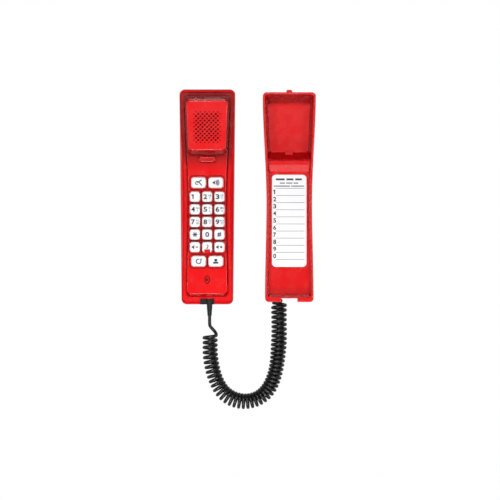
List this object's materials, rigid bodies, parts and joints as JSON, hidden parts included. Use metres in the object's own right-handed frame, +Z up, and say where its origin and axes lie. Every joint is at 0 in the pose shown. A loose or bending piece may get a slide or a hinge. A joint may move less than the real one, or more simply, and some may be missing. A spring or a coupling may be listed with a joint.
{
  "type": "slimline wall phone",
  "caption": "Slim wall telephone: a hollow wall base with a number card beside a keypad handset with round-dot earpiece grille, joined by a curly cord.",
  "frame": {"origin": "on the wall plane, at the middle of the flat back of the wall base", "axes": "+Z up, +X to the right as seen from the room, +Y into the wall"},
  "size_m": [0.1362, 0.043, 0.3206],
  "materials": {
    "red_base_shell": "satin-gloss injection-moulded red plastic",
    "red_rear_cover": "satin red plastic",
    "red_handset_shell": "glossy red plastic",
    "red_handset_panel": "satin-gloss red plastic",
    "red_plunger": "satin-gloss red plastic",
    "key_white": "smooth white plastic with dark printed symbols",
    "card_paper": "white card with printed rules and numerals",
    "cord_black": "black flexible PVC with a soft sheen",
    "plug_grey": "translucent dark grey moulded plastic",
    "socket_black": "black moulded plastic",
    "jack_black": "black moulded plastic",
    "switch_black": "black moulded plastic",
    "membrane_rubber": "grey silicone rubber",
    "wall_pad_rubber": "black rubber",
    "foam_gasket": "black foam",
    "acoustic_cloth": "fine black woven cloth",
    "capsule_black": "black felt-faced capsule",
    "circuit_board": "green glass-fibre laminate",
    "screw_steel": "zinc-plated steel",
    "spring_steel": "spring steel",
    "speaker_metal": "pressed steel",
    "ballast_steel": "plain steel plate",
    "light_lens": "dark red lens"
  },
  "bodies": {
    "base": {"base_front_shell": "red_base_shell", "base_rear_cover": "red_rear_cover", "wall_pads": "wall_pad_rubber", "base_screws": "screw_steel", "directory_card": "card_paper", "base_circuit_board": "circuit_board", "cord_jack": "jack_black", "network_jack": "jack_black", "base_plug": "plug_grey", "base_plug_boot": "cord_black", "cord_lead": "cord_black", "cord_coil": "cord_black"},
    "handset": {"handset_outer_shell": "red_handset_shell", "handset_front_panel": "red_handset_panel", "handset_screws": "screw_steel", "keypad_membrane": "membrane_rubber", "keypad_circuit_board": "circuit_board", "hook_switch": "switch_black", "plunger_spring": "spring_steel", "receiver_speaker": "speaker_metal", "receiver_gasket": "foam_gasket", "receiver_cloth": "acoustic_cloth", "microphone_boot": "membrane_rubber", "microphone_capsule": "capsule_black", "status_light": "light_lens", "ballast_weight": "ballast_steel", "handset_socket": "socket_black", "handset_plug": "plug_grey", "handset_plug_boot": "cord_black"},
    "key_0": {"key_0": "key_white"},
    "key_1": {"key_1": "key_white"},
    "key_2": {"key_2": "key_white"},
    "key_3": {"key_3": "key_white"},
    "key_4": {"key_4": "key_white"},
    "key_5": {"key_5": "key_white"},
    "key_6": {"key_6": "key_white"},
    "key_7": {"key_7": "key_white"},
    "key_8": {"key_8": "key_white"},
    "key_9": {"key_9": "key_white"},
    "key_star": {"key_star": "key_white"},
    "key_hash": {"key_hash": "key_white"},
    "key_volume_down": {"key_volume_down": "key_white"},
    "key_mute": {"key_mute": "key_white"},
    "key_volume_up": {"key_volume_up": "key_white"},
    "key_flash": {"key_flash": "key_white"},
    "key_speaker": {"key_speaker": "key_white"},
    "key_redial": {"key_redial": "key_white"},
    "key_service": {"key_service": "key_white"},
    "plunger": {"hook_plunger": "red_plunger"}
  },
  "joints": [
    {"name": "handset_swing", "type": "hinge", "parent": "base", "child": "handset", "pos_m": [-0.0409, -0.029, 0], "axis": [0, 0, 1], "range_deg": [0, 180]},
    {"name": "key_0_press", "type": "slide", "parent": "handset", "child": "key_0", "axis": [0, 1, 0], "range_m": [0, 0.001], "stiffness_N_per_m": 500},
    {"name": "key_1_press", "type": "slide", "parent": "handset", "child": "key_1", "axis": [0, 1, 0], "range_m": [0, 0.001], "stiffness_N_per_m": 500},
    {"name": "key_2_press", "type": "slide", "parent": "handset", "child": "key_2", "axis": [0, 1, 0], "range_m": [0, 0.001], "stiffness_N_per_m": 500},
    {"name": "key_3_press", "type": "slide", "parent": "handset", "child": "key_3", "axis": [0, 1, 0], "range_m": [0, 0.001], "stiffness_N_per_m": 500},
    {"name": "key_4_press", "type": "slide", "parent": "handset", "child": "key_4", "axis": [0, 1, 0], "range_m": [0, 0.001], "stiffness_N_per_m": 500},
    {"name": "key_5_press", "type": "slide", "parent": "handset", "child": "key_5", "axis": [0, 1, 0], "range_m": [0, 0.001], "stiffness_N_per_m": 500},
    {"name": "key_6_press", "type": "slide", "parent": "handset", "child": "key_6", "axis": [0, 1, 0], "range_m": [0, 0.001], "stiffness_N_per_m": 500},
    {"name": "key_7_press", "type": "slide", "parent": "handset", "child": "key_7", "axis": [0, 1, 0], "range_m": [0, 0.001], "stiffness_N_per_m": 500},
    {"name": "key_8_press", "type": "slide", "parent": "handset", "child": "key_8", "axis": [0, 1, 0], "range_m": [0, 0.001], "stiffness_N_per_m": 500},
    {"name": "key_9_press", "type": "slide", "parent": "handset", "child": "key_9", "axis": [0, 1, 0], "range_m": [0, 0.001], "stiffness_N_per_m": 500},
    {"name": "key_star_press", "type": "slide", "parent": "handset", "child": "key_star", "axis": [0, 1, 0], "range_m": [0, 0.001], "stiffness_N_per_m": 500},
    {"name": "key_hash_press", "type": "slide", "parent": "handset", "child": "key_hash", "axis": [0, 1, 0], "range_m": [0, 0.001], "stiffness_N_per_m": 500},
    {"name": "key_volume_down_press", "type": "slide", "parent": "handset", "child": "key_volume_down", "axis": [0, 1, 0], "range_m": [0, 0.001], "stiffness_N_per_m": 500},
    {"name": "key_mute_press", "type": "slide", "parent": "handset", "child": "key_mute", "axis": [0, 1, 0], "range_m": [0, 0.001], "stiffness_N_per_m": 500},
    {"name": "key_volume_up_press", "type": "slide", "parent": "handset", "child": "key_volume_up", "axis": [0, 1, 0], "range_m": [0, 0.001], "stiffness_N_per_m": 500},
    {"name": "key_flash_press", "type": "slide", "parent": "handset", "child": "key_flash", "axis": [0, 1, 0], "range_m": [0, 0.001], "stiffness_N_per_m": 500},
    {"name": "key_speaker_press", "type": "slide", "parent": "handset", "child": "key_speaker", "axis": [0, 1, 0], "range_m": [0, 0.001], "stiffness_N_per_m": 500},
    {"name": "key_redial_press", "type": "slide", "parent": "handset", "child": "key_redial", "axis": [0, 1, 0], "range_m": [0, 0.001], "stiffness_N_per_m": 500},
    {"name": "key_service_press", "type": "slide", "parent": "handset", "child": "key_service", "axis": [0, 1, 0], "range_m": [0, 0.001], "stiffness_N_per_m": 500},
    {"name": "hook_plunger_press", "type": "slide", "parent": "handset", "child": "plunger", "axis": [0, 1, 0], "range_m": [0, 0.0015], "stiffness_N_per_m": 400}
  ]
}
